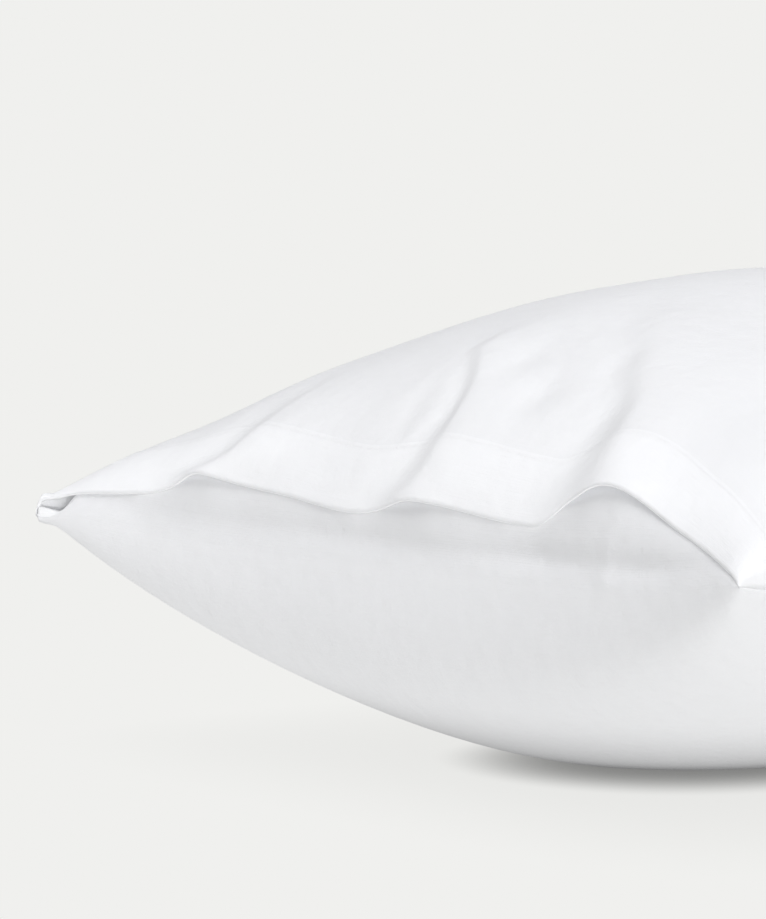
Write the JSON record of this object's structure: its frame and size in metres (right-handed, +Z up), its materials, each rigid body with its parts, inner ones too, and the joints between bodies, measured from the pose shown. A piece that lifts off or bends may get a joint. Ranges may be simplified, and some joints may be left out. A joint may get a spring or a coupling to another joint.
{
  "type": "pillowcase on a pillow",
  "caption": "White cotton pillowcase with a deep turned hem and a tuck-in flap, plumply filled by its pillow and lying flat.",
  "frame": {"origin": "on the resting surface, under the middle of the case's box", "axes": "X along the case with the open mouth at -X, Y across it, +Z up"},
  "size_m": [0.676, 0.46, 0.2104],
  "materials": {
    "percale_top": "plain white cotton percale, matt",
    "percale_bottom": "plain white cotton percale, matt",
    "pillow_ticking": "plain off-white cotton cover, matt"
  },
  "bodies": {
    "root": {"top_panel": "percale_top", "bottom_panel": "percale_bottom", "pillow": "pillow_ticking"}
  },
  "joints": []
}
